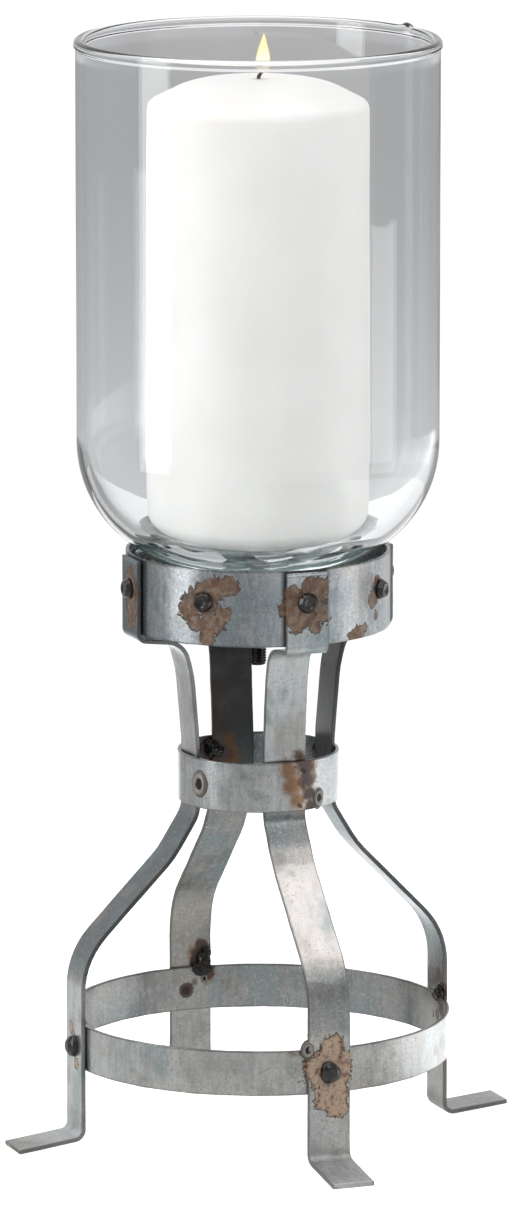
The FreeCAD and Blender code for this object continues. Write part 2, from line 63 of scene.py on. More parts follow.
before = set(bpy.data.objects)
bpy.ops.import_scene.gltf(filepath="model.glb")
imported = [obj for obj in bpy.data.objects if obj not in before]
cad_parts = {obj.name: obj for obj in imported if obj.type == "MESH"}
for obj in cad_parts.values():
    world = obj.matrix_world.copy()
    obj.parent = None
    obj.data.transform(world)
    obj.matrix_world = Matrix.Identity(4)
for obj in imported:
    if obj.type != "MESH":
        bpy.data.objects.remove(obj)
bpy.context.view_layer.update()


# ---- small helpers

def lerp(a, b, t):
    return a + (b - a) * t


def smooth_step(t):
    t = min(max(t, 0), 1)
    return t * t * (3.0 - 2.0 * t)


def around(turn, radius, height):
    """Point at a turn in radians about the axis."""
    return Vector((radius * cos(turn), radius * sin(turn), height))


def polar(angle, radius, height):
    """Point from a compass angle seen from the camera: 0 faces it, positive is to its right."""
    return around(radians(angle - 90.0 - PHOTO_SIDE), radius, height)


def fractal(point, size, seed, octaves=3):
    """Signed noise of a point in millimetres, its largest feature about size millimetres."""
    total, weight = 0, 1.0
    shifted = Vector(point) / size + Vector((seed * 7.3, seed * 3.1, seed * 5.7))
    for _ in range(octaves):
        total += weight * noise.noise(shifted)
        shifted *= 2.03
        weight *= 0.5
    return total


def add_object(name, data):
    item = bpy.data.objects.new(name, data)
    bpy.context.scene.collection.objects.link(item)
    return item


def close_shell(mesh, gap=None):
    """Turns all faces outwards, after joining any points within gap metres of one another."""
    shell = bmesh.new()
    shell.from_mesh(mesh)
    if gap:
        bmesh.ops.remove_doubles(shell, verts=shell.verts, dist=gap)
    bmesh.ops.recalc_face_normals(shell, faces=shell.faces)
    shell.to_mesh(mesh)
    shell.free()


def make_object(name, points, faces, uvs=None):
    """A mesh object from points in millimetres; uvs holds one pair of millimetres per point."""
    mesh = bpy.data.meshes.new(name)
    mesh.from_pydata([Vector(p) * MM for p in points], [], faces)
    mesh.validate()
    close_shell(mesh)
    if uvs is not None:
        layer = mesh.uv_layers.new(name="UVMap")
        for loop in mesh.loops:
            layer.data[loop.index].uv = [c * MM for c in uvs[loop.vertex_index]]
    mesh.polygons.foreach_set("use_smooth", [True] * len(mesh.polygons))
    return add_object(name, mesh)


def add_field(piece, name, values):
    """Stores one value at every vertex."""
    field = piece.data.attributes.new(name, "FLOAT", "POINT")
    field.data.foreach_set("value", values)


def grid_faces(rows, columns, close_rows, close_columns):
    faces = []
    for i in range(rows if close_rows else rows - 1):
        this, following = i * columns, (i + 1) % rows * columns
        for j in range(columns if close_columns else columns - 1):
            k = (j + 1) % columns
            faces.append((this + j, this + k, following + k, following + j))
    return faces


def rod_faces(rows, columns):
    """Faces of a rod, each row of points a section of it, with both ends closed."""
    faces = grid_faces(rows, columns, False, True)
    faces.append(tuple(range(columns - 1, -1, -1)))
    faces.append(tuple(range((rows - 1) * columns, rows * columns)))
    return faces


# ---- lathe, strap and ring builders

def rounded_path(corners, closed=False, arc_step=8.0, run_step=None):
    """Points along straight runs whose corners (x, y, radius) are rounded by tangent arcs."""
    points = [Vector((x, y)) for x, y, _ in corners]
    count = len(points)
    out = []
    for index, (_, _, radius) in enumerate(corners):
        ends = not closed and index in (0, count - 1)
        if ends or radius <= 0:
            out.append(points[index])
            continue
        before = (points[index] - points[index - 1]).normalized()
        after = (points[(index + 1) % count] - points[index]).normalized()
        turn = before.angle_signed(after)
        reach = radius * tan(abs(turn) / 2)
        start = points[index] - before * reach
        side = Vector((before.y, -before.x)) * copysign(1, turn)
        centre = start + side * radius
        steps = max(2, ceil(abs(degrees(turn)) / arc_step))
        for step in range(steps + 1):
            angle = -turn * step / steps
            arm = start - centre
            out.append(centre + Vector((
                arm.x * cos(angle) - arm.y * sin(angle),
                arm.x * sin(angle) + arm.y * cos(angle))))
    if run_step is None:
        return out
    fine = []
    for index in range(len(out) if closed else len(out) - 1):
        a, b = out[index], out[(index + 1) % len(out)]
        steps = max(1, ceil((b - a).length / run_step))
        fine += [a.lerp(b, step / steps) for step in range(steps)]
    if not closed:
        fine.append(out[-1])
    return fine


def lathe(name, profile, segments=96, closed=True, wobble=None):
    """Turns a profile of (radius, height) points about +Z; wobble(angle, r, z) shifts the radius."""
    points, uvs = [], []
    for ring in range(segments):
        angle = 2 * pi * ring / segments
        for radius, height in profile:
            shift = wobble(angle, radius, height) if wobble else 0.0
            points.append(around(angle, radius + shift, height))
            uvs.append((angle * radius, height))
    faces = grid_faces(segments, len(profile), True, closed)
    return make_object(name, points, faces, uvs)


def strap_section(width=STRAP_WIDTH, sheet=STRAP_SHEET, corner=0.4):
    """Cross-section of a strap with rounded edges: (across, through) pairs, anticlockwise."""
    half, thick = width / 2, sheet / 2
    cells = round((width - 2 * corner) / 2)
    section = []
    for side in (1, -1):
        flat = [lerp(-1, 1, k / cells) * side * (half - corner) for k in range(cells + 1)]
        flat.insert(1, flat[0] + side * 0.25)
        flat.insert(-1, flat[-1] - side * 0.25)
        section += [(across, -thick * side) for across in flat]
        for face, steps in ((-side, (1, 2, 3, 4)), (side, (4, 3, 2, 1))):
            for step in steps:
                turn = radians(step * 22.5)
                section.append((side * (half - corner + corner * sin(turn)),
                                face * (thick - corner + corner * cos(turn))))
    return section


def neighbours(path, index):
    return Vector(path[max(index - 1, 0)]), Vector(path[min(index + 1, len(path) - 1)])


def sweep(name, stations, section, closed, seed, upright_grain=False):
    """Runs a section along stations of (point, across axis, through axis, length so far).

    The coating's streaks run along the length, or across it with upright_grain.
    """
    points, uvs = [], []
    for point, across_axis, through_axis, length in stations:
        for across, through in section:
            edge = 0.16 * fractal((length, copysign(40, across), 0), 9, seed)
            dent = 0.10 * fractal((length, across, 3), 26, seed + 5)
            grow = 1.0 + edge / 10.0
            points.append(point + across_axis * across * grow + through_axis * (through + dent))
            side = across + (BACK_OF_SHEET if through > 0 else 0)
            uvs.append((side, length) if upright_grain else (length, side))
    rows, columns = len(stations), len(section)
    faces = grid_faces(rows, columns, True, True) if closed else rod_faces(rows, columns)
    return make_object(name, points, faces, uvs)


def ring_stations(radius, middle):
    count = ceil(2 * pi * radius / STATION_STEP)
    stations = []
    for k in range(count):
        angle = 2 * pi * k / count
        outward = around(angle, 1, 0)
        stations.append((outward * radius + UP * middle, UP, outward, angle * radius))
    return stations


def strap_stations(corners, turn):
    """Stations of a strap bent in the plane through the axis at compass turn degrees from +X."""
    path = rounded_path(corners, arc_step=7.0, run_step=STATION_STEP)
    outward = around(radians(turn), 1, 0)
    sideways = UP.cross(outward)
    stations, length = [], 0.0
    for index, spot in enumerate(path):
        before, after = neighbours(path, index)
        along = (after - before).normalized()
        through = outward * -along.y + UP * along.x
        if index:
            length += (spot - before).length
        stations.append((outward * spot.x + UP * spot.y, sideways, through, length))
    return stations


# ---- node material helpers

class Graph:
    """Builds the nodes of one material, or of the world, with short calls."""

    def __init__(self, name, world=None):
        self.material = world or bpy.data.materials.new(name)
        self.material.use_nodes = True
        self.tree = self.material.node_tree
        self.tree.nodes.clear()
        self.out = self.node("OutputWorld" if world else "OutputMaterial")

    def node(self, kind, **settings):
        item = self.tree.nodes.new("ShaderNode" + kind)
        for key, value in settings.items():
            setattr(item, key, value)
        return item

    def set(self, socket, value):
        if isinstance(value, bpy.types.NodeSocket):
            self.tree.links.new(value, socket)
        elif socket.type == "RGBA":
            socket.default_value = (*value, 1)
        else:
            socket.default_value = value

    def fill(self, item, **values):
        """Sets a node's inputs by name, with _ for each space."""
        for key, value in values.items():
            self.set(item.inputs[key.replace("_", " ")], value)
        return item

    def feed(self, item, *values):
        """Sets a node's inputs in their order."""
        for socket, value in zip(item.inputs, values):
            self.set(socket, value)
        return item

    def shader(self, kind, **values):
        return self.fill(self.node(kind), **values).outputs[0]

    def blend(self, share, a, b):
        """One shader for a share of 0 and the other for 1."""
        return self.feed(self.node("MixShader"), share, a, b).outputs[0]

    def surface(self, shader):
        self.set(self.out.inputs["Surface"], shader)

    def math(self, operation, a, b=0.0, clamp=False):
        return self.feed(self.node("Math", operation=operation, use_clamp=clamp), a, b).outputs[0]

    def add(self, a, b, clamp=False):
        return self.math("ADD", a, b, clamp)

    def times(self, a, b, clamp=False):
        return self.math("MULTIPLY", a, b, clamp)

    def signed(self, value):
        """Noise moved down to lie about nought."""
        return self.math("SUBTRACT", value, 0.5)

    def band(self, value, low, high):
        """0 below low, 1 above high, smooth between."""
        item = self.node("MapRange", interpolation_type="SMOOTHSTEP")
        return self.fill(item, Value=value, From_Min=low, From_Max=high).outputs["Result"]

    def mix(self, share, a, b):
        item = self.fill(self.node("Mix", data_type="RGBA"), Factor=share)
        for key, value in (("A", a), ("B", b)):
            self.set(next(s for s in item.inputs if s.name == key and s.type == "RGBA"), value)
        return next(s for s in item.outputs if s.type == "RGBA")

    def layers(self, colour, coats):
        """A colour under coats of (share, colour), the last on top."""
        for share, coat in coats:
            colour = self.mix(share, colour, coat)
        return colour

    def spot(self):
        """The surface point in the lantern's frame, metres."""
        return self.node("TexCoord").outputs["Object"]

    def height(self, where):
        return self.feed(self.node("SeparateXYZ"), where).outputs["Z"]

    def along(self, where, direction):
        """How far a point or a ray goes along a direction."""
        item = self.node("VectorMath", operation="DOT_PRODUCT")
        return self.feed(item, where, direction).outputs["Value"]

    def place(self, source, scale, shift=(0, 0, 0)):
        item = self.fill(self.node("Mapping"), Vector=source, Scale=scale, Location=shift)
        return item.outputs["Vector"]

    def noise(self, where, size, detail=3.0, roughness=0.55, distortion=0.0):
        """Noise about 0.5 with features of size metres."""
        item = self.fill(self.node("TexNoise"), Vector=where, Scale=1.0 / size, Detail=detail,
                         Roughness=roughness, Distortion=distortion)
        return item.outputs["Fac"]

    def field(self, name):
        return self.node("Attribute", attribute_name=name).outputs["Fac"]

    def ray(self, kind):
        return self.node("LightPath").outputs["Is " + kind + " Ray"]

    def bump(self, height, distance, strength=1.0):
        return self.shader("Bump", Height=height, Distance=distance, Strength=strength)

    def principled(self, **values):
        shader = self.shader("BsdfPrincipled", **values)
        self.surface(shader)
        return shader


def zinc_material(name):
    """Weathered zinc coating with streaks along the strap, rust patches and weld scorch, with painted
    highlights and painted shade.
    """
    g = Graph(name)
    where = g.spot()
    level = g.height(where)
    along = g.place(g.node("UVMap", uv_map="UVMap").outputs["UV"], (1, 6, 1))
    cloud = g.noise(where, 0.014, 4, 0.6)
    patch = g.noise(g.place(where, (1, 1, 0.6), (3, 1, 2)), 0.026, 3, 0.6)
    fine = g.noise(where, 0.0026, 3, 0.65)
    speck = g.noise(where, 0.0011, 2, 0.6)
    streak = g.noise(along, 0.015, 4, 0.6)
    tone = g.add(g.add(g.times(cloud, 0.45), g.times(streak, 0.35)), g.times(fine, 0.20))
    upper = g.band(level, 0.13, 0.23)
    cool = g.mix(upper, (0.285, 0.290, 0.280), (0.240, 0.268, 0.288))
    light = g.mix(upper, (0.440, 0.434, 0.418), (0.405, 0.427, 0.428))
    # painted light and wear: above nought a painted highlight with some bright wear of the coating, below it
    # painted shade, dull and bluish
    painted_light_and_wear = g.field("painted_light_and_wear")
    painted_highlight_and_wear = g.times(painted_light_and_wear, g.add(0.95, g.times(g.signed(tone), 2.6)), clamp=True)
    flare = g.times(g.band(level, 0.088, 0.094), g.band(level, 0.150, 0.140))
    smudge = g.band(g.noise(g.place(where, (1, 1, 1), (9, 4, 1)), 0.017, 2, 0.5), 0.58, 0.68)
    specked = g.times(g.band(speck, 0.53, 0.66), g.band(cloud, 0.46, 0.60))
    edge = g.band(g.add(g.field("edge"), g.times(fine, 0.5)), 0.75, 1.25)
    # painted shade and darkening: a soft darkening, browner where it is thin; painted shadow in the collar's
    # gaps beside the straps and painted shade on the left leg
    painted_shade_and_darkening = g.field("painted_shade_and_darkening")
    darkening_share = g.times(painted_shade_and_darkening, g.add(0.75, g.times(cloud, 0.45)), clamp=True)
    darkening_colour = g.mix(g.band(patch, 0.42, 0.62), (0.030, 0.030, 0.031), (0.050, 0.036, 0.026))
    # weld scorch: orange heat tint, then a dark brown rim, purple brown and black pits
    ragged = g.signed(g.noise(where, 0.005, 4, 0.65))
    heat = g.add(g.field("tint"), g.times(ragged, 0.6))
    burn = g.add(g.field("burn"), g.times(ragged, 0.75))
    # rust: crisp, scalloped, dark at its border, letting some zinc through
    scallop = g.signed(g.noise(where, 0.0042, 3, 0.58, 0.5))
    grain = g.signed(g.noise(where, 0.0014, 2, 0.6))
    rust = g.add(g.field("rust"), g.add(g.times(scallop, 1.15), g.times(grain, 0.30)))
    rust_tone = g.noise(g.place(where, (1, 1, 1), (1, 5, 2)), 0.0048, 4, 0.70)
    bloom = g.noise(g.place(where, (1, 1, 1), (4, 2, 7)), 0.0035, 3, 0.6)
    pale = g.times(g.band(level, 0.12, 0.07), g.band(bloom, 0.28, 0.50))
    border = g.times(g.band(rust, 0.035, 0.06), g.band(rust, 0.20, 0.11))
    brown = g.layers(g.mix(g.band(rust_tone, 0.44, 0.58), (0.150, 0.082, 0.045), (0.120, 0.046, 0.020)), [
        (g.times(g.band(bloom, 0.47, 0.58), 0.85), (0.235, 0.160, 0.104)),
        (g.times(pale, 0.75), (0.56, 0.40, 0.285)),
        (g.times(g.band(grain, 0.02, 0.14), 0.45), (0.085, 0.045, 0.028)),
        (g.times(border, 0.90), (0.045, 0.028, 0.020))])
    rusty = g.band(rust, 0.035, 0.055)
    colour = g.layers(g.mix(g.band(tone, 0.39, 0.62), cool, light), [
        # painted highlight with some bright wear, warmer on the flares
        (painted_highlight_and_wear, g.mix(flare, (0.66, 0.70, 0.71), (0.76, 0.715, 0.68))),
        # painted shade: dull and bluish below nought
        (g.times(painted_light_and_wear, -1, clamp=True), (0.060, 0.098, 0.120)),
        (g.times(smudge, 0.40), (0.165, 0.175, 0.160)),
        (g.times(g.band(patch, 0.52, 0.68), 0.50), (0.375, 0.345, 0.295)),
        (g.times(g.band(patch, 0.47, 0.34), 0.50), (0.215, 0.280, 0.305)),
        (g.times(specked, 0.38), (0.13, 0.135, 0.132)),
        (g.times(g.band(speck, 0.45, 0.32), 0.35), (0.60, 0.61, 0.60)),
        # darker along the edges: painted shade along the legs' side edges, and darker towards the bands' top
        # and bottom edges
        (g.times(edge, 0.60), (0.060, 0.054, 0.050)),
        # painted shade and darkening over the coating
        (darkening_share, darkening_colour),
        (g.times(g.band(heat, 0.05, 0.50), 0.85), (0.205, 0.098, 0.034)),
        (g.times(g.band(burn, 0.08, 0.30), 0.85), (0.110, 0.062, 0.038)),
        (g.band(burn, 0.28, 0.42), (0.085, 0.058, 0.056)),
        (g.band(burn, 0.66, 0.84), (0.022, 0.015, 0.014)),
        (g.times(rusty, g.add(0.62, g.times(fine, 0.6)), clamp=True), brown)])
    dull = g.math("MAXIMUM", rusty, g.band(burn, 0.30, 0.50))
    dull = g.math("MAXIMUM", dull, g.times(painted_shade_and_darkening, 0.5))
    trodden = g.band(level, 0.012, 0.006)
    rough = g.add(0.27, g.times(g.signed(tone), 0.45))
    rough = g.add(rough, g.times(g.math("MAXIMUM", dull, trodden), 0.30), clamp=True)
    relief = g.add(g.add(g.times(fine, 0.35), g.times(cloud, 0.65)), g.times(rusty, 0.35))
    g.principled(Base_Color=colour, Metallic=g.math("SUBTRACT", 0.90, g.times(dull, 0.80), clamp=True),
                 Roughness=rough, Normal=g.bump(relief, 0.0004, 0.40))
    return g.material


def dark_metal(name, low=(0.005, 0.004, 0.004), high=(0.024, 0.014, 0.011), rough=0.17, gloss=0.7):
    """Black oxide or weld slag: glossy, brown where it has rusted."""
    g = Graph(name)
    where = g.spot()
    cloud = g.noise(where, 0.0035, 3, 0.6)
    relief = g.add(cloud, g.times(g.noise(where, 0.0009, 2, 0.6), 0.4))
    g.principled(Base_Color=g.mix(g.band(cloud, 0.42, 0.66), low, high), Metallic=0.15,
                 Roughness=g.add(rough, g.times(g.signed(cloud), 0.5), clamp=True),
                 Normal=g.bump(relief, 0.0003, 0.35), Specular_IOR_Level=gloss)
    return g.material


def crater_material(name):
    """Weld spatter burst open: a black centre painted as the shade of its hole, a pale ring and a brownish
    skirt.
    """
    g = Graph(name)
    fine = g.noise(g.spot(), 0.0012, 3, 0.6)
    radius = g.add(g.field("radius"), g.times(g.signed(fine), 1.1))
    # painted shade: the centre is black for the depth of its hole
    colour = g.mix(g.band(radius, 1.15, 1.5), (0.010, 0.009, 0.009), (0.30, 0.285, 0.25))
    colour = g.mix(g.band(radius, 1.9, 2.5), colour, (0.150, 0.138, 0.120))
    g.principled(Base_Color=colour, Metallic=0.4, Roughness=0.42, Normal=g.bump(fine, 0.0002, 0.5))
    return g.material


def plated_material(name):
    g = Graph(name)
    where = g.spot()
    fine = g.noise(where, 0.0012, 2, 0.6)
    cloud = g.band(g.noise(where, 0.006, 3, 0.6), 0.38, 0.66)
    colour = g.mix(cloud, (0.24, 0.235, 0.22), (0.42, 0.40, 0.37))
    colour = g.mix(g.times(g.band(fine, 0.56, 0.70), 0.6), colour, (0.12, 0.085, 0.06))
    rough = g.add(0.38, g.times(g.signed(fine), 0.4))
    g.principled(Base_Color=colour, Metallic=0.85, Roughness=rough, Normal=g.bump(fine, 0.0002, 0.4))
    return g.material


def gasket_material(name):
    """Milky silicone."""
    g = Graph(name)
    where = g.spot()
    cloud = g.noise(where, 0.004, 3, 0.6)
    g.principled(Base_Color=g.mix(cloud, (0.56, 0.58, 0.57), (0.70, 0.71, 0.69)),
                 Roughness=g.add(0.35, g.times(cloud, 0.3)),
                 Normal=g.bump(g.noise(where, 0.0006, 2, 0.6), 0.0001, 0.4))
    return g.material


def wax_material(name):
    g = Graph(name)
    where = g.spot()
    fine = g.noise(where, 0.0022, 3, 0.6)
    cloud = g.band(g.noise(where, 0.045, 3, 0.5), 0.35, 0.65)
    drag = g.noise(g.place(where, (1, 1, 0.07)), 0.004, 2, 0.5)
    relief = g.add(g.times(fine, 0.3), g.times(drag, 0.7))
    g.principled(Base_Color=g.mix(cloud, (0.885, 0.868, 0.835), (0.925, 0.912, 0.885)),
                 Roughness=g.add(0.40, g.times(fine, 0.16)), IOR=1.44, Normal=g.bump(relief, 0.0002, 0.25),
                 Subsurface_Weight=0.45, Subsurface_Radius=(1, 0.75, 0.5), Subsurface_Scale=0.008)
    return g.material


def wick_material(name):
    g = Graph(name)
    where = g.spot()
    weave = g.noise(where, 0.0006, 3, 0.6)
    burnt = g.band(g.height(where), (CANDLE_TOP - 0.7) * MM, (CANDLE_TOP + 0.7) * MM)
    colour = g.mix(burnt, g.mix(weave, (0.55, 0.5, 0.42), (0.75, 0.7, 0.6)), (0.012, 0.010, 0.009))
    g.principled(Base_Color=colour, Roughness=g.add(0.75, g.times(weave, 0.2)),
                 Normal=g.bump(weave, 0.0002, 0.6))
    return g.material


def glass_material(name):
    """Clear soda glass, faintly aqua where it is thick, with a painted aqua glow in its floor."""
    g = Graph(name)
    where = g.spot()
    ripple = g.noise(g.place(where, (1, 1, 0.25)), 0.030, 2, 0.4)
    # painted light: the glass floor glows faintly aqua
    painted_floor_glow = g.times(g.band(g.height(where), (GLASS_BOTTOM + 9.3) * MM, (GLASS_BOTTOM + 1.3) * MM), 0.075)
    glass = g.principled(Base_Color=(0.994, 0.990, 0.993), Roughness=0.0, IOR=1.5, Transmission_Weight=1.0,
                         Normal=g.bump(ripple, 0.0004, 0.12), Emission_Color=(0.78, 0.98, 0.96),
                         Emission_Strength=painted_floor_glow)
    shadow = g.shader("BsdfTransparent", Color=(0.945, 0.945, 0.94))
    g.surface(g.blend(g.ray("Shadow"), glass, shadow))
    g.set(g.out.inputs["Volume"], g.shader("VolumeAbsorption", Color=(0.70, 0.92, 0.92), Density=12.0))
    return g.material


def flame_material(name):
    """Glowing gas: golden skin, cream heart, fading out towards the wick."""
    g = Graph(name)
    height, low = g.height(g.spot()), FLAME_BOTTOM * MM
    facing = g.fill(g.node("LayerWeight"), Blend=0.45).outputs["Facing"]
    heart = g.mix(g.band(height, low + 0.0055, low + 0.0140), (1, 0.93, 0.80), (1, 0.87, 0.50))
    glow = g.shader("Emission", Color=g.mix(g.band(facing, 0.25, 0.85), heart, (1, 0.66, 0.20)),
                    Strength=1.15)
    solid = g.times(g.band(height, low + 0.0008, low + 0.0065), g.band(facing, 0.98, 0.70))
    g.surface(g.blend(solid, g.shader("BsdfTransparent"), glow))
    return g.material


# ---- glass, candle, wick, flame

def finish_piece(piece, material, slot, *nodes, body="stand"):
    """Joins the points that a turned part has on its axis, gives the piece its material, attaches it to its
    body and hides the CAD nodes it replaces.
    """
    close_shell(piece.data, 0.001 * MM)
    piece.data.materials.clear()
    piece.data.materials.append(material)
    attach(piece, body)
    if nodes:
        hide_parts(*nodes)


def make_glass(material):
    inner = GLASS_RADIUS - GLASS_WALL
    profile = rounded_path([
        (5, GLASS_BOTTOM, 0),
        (GLASS_RADIUS, GLASS_BOTTOM, 55.8),
        (GLASS_RADIUS, GLASS_TOP - RIM_BEAD_HEIGHT - RIM_BEAD, 0.8),
        (GLASS_RADIUS + RIM_BEAD, GLASS_TOP - RIM_BEAD_HEIGHT, 0.8),
        (GLASS_RADIUS + RIM_BEAD, GLASS_TOP, 2.2),
        (inner, GLASS_TOP, 2),
        (inner, GLASS_BOTTOM + GLASS_FLOOR, 52),
        (5, GLASS_BOTTOM + GLASS_FLOOR, 0)], closed=True, arc_step=3.0, run_step=6.0)

    def wobble(angle, radius, height):
        if radius < 30:
            return 0.0
        depth = 0.10 if radius > inner + GLASS_WALL / 2 else 0.16
        return depth * fractal(around(angle, radius, height * 0.4), 55, 3, 2)

    glass = lathe("glass_hurricane_blown", profile, 200, True, wobble)
    nub = polar(*RIM_NUB, GLASS_TOP) * MM
    for v in glass.data.vertices:
        if v.co.z > (GLASS_TOP - 4) * MM:
            away = hypot(v.co.x - nub.x, v.co.y - nub.y) / MM
            v.co.z += NUB_RISE * MM * exp(-(away / NUB_REACH) ** 2)
    finish_piece(glass, material, "glass", "glass_hurricane")


def make_candle(material):
    profile = rounded_path([
        (1, CANDLE_BOTTOM, 0),
        (CANDLE_RADIUS + 1, CANDLE_BOTTOM, 8),
        (CANDLE_RADIUS, CANDLE_TOP - 10.8, 5),
        (29, CANDLE_TOP, 42),
        (1, CANDLE_TOP, 0)], closed=True, arc_step=6.0, run_step=5.0)

    def wobble(angle, radius, height):
        if radius < 3:
            return 0.0
        return 0.18 * fractal(around(angle, radius, height), 42, 8, 2)

    candle = lathe("candle_wax", profile, 144, True, wobble)
    finish_piece(candle, material, "wax", "candle", body="candle")


def make_wick(material):
    """A braided cord: through the wax, then up and over, thinner at its burnt tip."""
    path = [(0, 0, CANDLE_BOTTOM), (0, 0, 380), (0, 0, 482), (0.1, 0, 484), (0.5, 0, 485.6),
            (1.2, -0.1, 486.8), (2, -0.1, 487.5), (2.6, -0.1, 487.9)]
    lean = Matrix.Rotation(radians(-PHOTO_SIDE + 8), 3, "Z")
    points = []
    for index, spot in enumerate(path):
        here = Vector(spot)
        before, after = neighbours(path, index)
        along = (after - before).normalized()
        side = along.cross(Vector((0, 1, 0))).normalized()
        other = along.cross(side)
        radius = 0.9 if index < 5 else lerp(0.85, 0.5, (index - 4) / 3)
        for k in range(12):
            turn = 2 * pi * k / 12
            swell = radius * (0.94 + 0.06 * cos(3 * turn))
            points.append(lean @ (here + side * swell * cos(turn) + other * swell * sin(turn)))
    wick = make_object("wick_cord", points, rod_faces(len(path), 12))
    finish_piece(wick, material, "wick", "wick", body="candle")


def make_flame(material):
    profile = []
    for step in range(25):
        t = step / 24
        radius = 3.7 * sin(pi * min(1, t ** 0.62)) ** 0.85 * (1 - 0.28 * t)
        profile.append((radius, lerp(FLAME_BOTTOM, FLAME_TOP, t)))
    flame = lathe("flame", profile, 32, False)
    for v in flame.data.vertices:
        rise = max(0, (v.co.z / MM - FLAME_BOTTOM - 2) / 16)
        v.co.x += 0.0005 * rise ** 2
    flame.location = polar(90, 2.2, 0) * MM
    finish_piece(flame, material, "wick", body="candle")


# ---- wear, painted shade and painted light fields of the steel

# Rust lobes by their radius from the axis: (angle from the camera, height, reach), degrees and millimetres
RUST = {
    COLLAR[0]: [(-24, 257, 8.5), (-19, 261, 6.5), (-13, 263, 5), (-31, 252, 6.5), (-20, 246, 7),
        (-22, 240, 4.5), (-15, 250, 4.5), (-28, 245, 4), (60, 252, 4.5), (66, 256, 5), (63, 261, 2.5),
        (62, 244, 2.2), (49, 239, 4), (45, 237.5, 3.2), (53, 240, 2.5), (156, 255, 8), (150, 250, 5),
        (246, 257, 7.5), (250, 249, 5.5), (246, 242, 4)],
    COLLAR[0] + STRAP_SHEET: [(21, 256, 8.5), (13, 253, 5.5), (17, 248, 6.5), (14, 260, 4.5),
        (27, 262, 6), (28, 250, 5.5), (24, 245, 4), (22, 263, 5), (-68, 255, 9), (-67, 247, 7),
        (-68, 262, 5), (-67, 241, 4.5)],
    65: [(201, 254, 8), (205, 247, 6), (111, 256, 7.5), (108, 249, 5.5)],
    BASE[0] + STRAP_SHEET: [(21, 47, 12.5), (17, 48, 6.5), (25, 49, 7.5), (21.5, 38, 9.5),
        (23.5, 31, 6.5), (19.5, 33, 5.5), (22, 57, 6.5), (-69, 46, 5), (-67, 38, 3.2), (-71, 54, 3)],
    93: [(113, 53, 4.5)],
    93.5: [(111, 47, 6.4)],
    95: [(201, 46, 6.6), (198, 40, 5)],
}
# Weld scorch: the same, with its strength
BURN = {
    32: [(212, 169, 5.5, 1), (206, 168, 5, 0.45)],
    34: [(220, 171, 7, 1.6)],
    WAIST[0]: [(33, 178, 7, 0.62), (37, 176, 7, 0.66), (38, 169, 6.5, 0.64), (39, 162, 6, 0.6),
        (40, 156, 5.5, 0.58), (34, 173.5, 2.4, 1.3), (37, 176, 2, 1.2), (40, 163.5, 2.2, 1.2),
        (42, 156, 2.8, 1.2), (37, 168.5, 1.6, 1.2), (33, 165, 1.2, 1.1), (30, 157, 1.4, 0.9),
        (21, 179, 3.5, 0.55), (47, 159.5, 6, 0.2), (-46, 166, 9, 0.14)],
    84: [(12, 57, 7, 0.4)],
    86: [(196, 53, 4.5, 0.9), (203, 45.5, 4.2, 1.6), (200, 49, 3.5, 0.4), (101, 52, 8, 0.6),
        (98, 45, 6, 0.65), (106, 46, 5, 0.5), (-78, 56, 8, 0.6)],
    87: [(105, 57.5, 6, 1.4)],
    88: [(197, 60, 8, 1.5), (197.5, 66, 4.5, 1), (200, 59, 3.5, 0.8)],
}
# Orange heat tint beside the scorch
HEAT = {
    32: [(205, 168, 9, 0.6), (206, 176, 6, 0.4)],
    WAIST[0]: [(22, 174, 7.5, 0.75), (25, 167, 7.5, 0.75), (29, 160, 6.5, 0.65), (20, 178, 5, 0.5),
        (33, 155, 5, 0.4), (45, 176, 4, 0.35)],
    COLLAR[0]: [(30, 262, 6, 0.25), (57, 262, 6, 0.3)],
    86: [(196, 52, 7, 0.5), (190, 48, 6, 0.3), (101, 50, 9, 0.5)],
    88: [(200, 63, 6, 0.65), (108, 64, 8, 0.4)],
}
# Burst spatter: (angle from the camera, radius from the axis, height, size, turn from outwards)
CRATERS = [(-46, WAIST[0], 166, 1.8, 0), (48, WAIST[0], 159.5, 1.3, 0), (14.5, 89.6, 57, 1.15, 0),
           (197, 85.9, 50.5, 0.7, 180)]

# Painted light and wear of the coating, from -1 painted shade, dull, to 1 painted highlight with some bright
# wear: (height, value) of the legs from the foot up
LEG_PAINTED_LIGHT_AND_WEAR = {
    "front": [(0, 0.55), (8, 0.15), (55, 0.15), (62, 0.25), (66, -0.3), (91.5, -0.3), (93, 0.75),
              (136, 0.8), (142, -0.5), (152, -0.45), (176, 0.4), (190, 0.75), (228, 0.85), (238, 0.2)],
    "left": [(0, -0.15), (6, 0.55), (74, 0.6), (80, -0.55), (100, -0.75), (152, -0.75), (176, 0.6),
             (190, 0.85), (225, 0.85), (236, -0.75)],
    "back": [(0, 0), (50, -0.05), (80, -0.2), (110, -0.35), (150, -0.3)],
    "right": [(0, 0.1), (70, 0.05), (86, -0.7), (150, -0.7), (168, -0.1)],
}
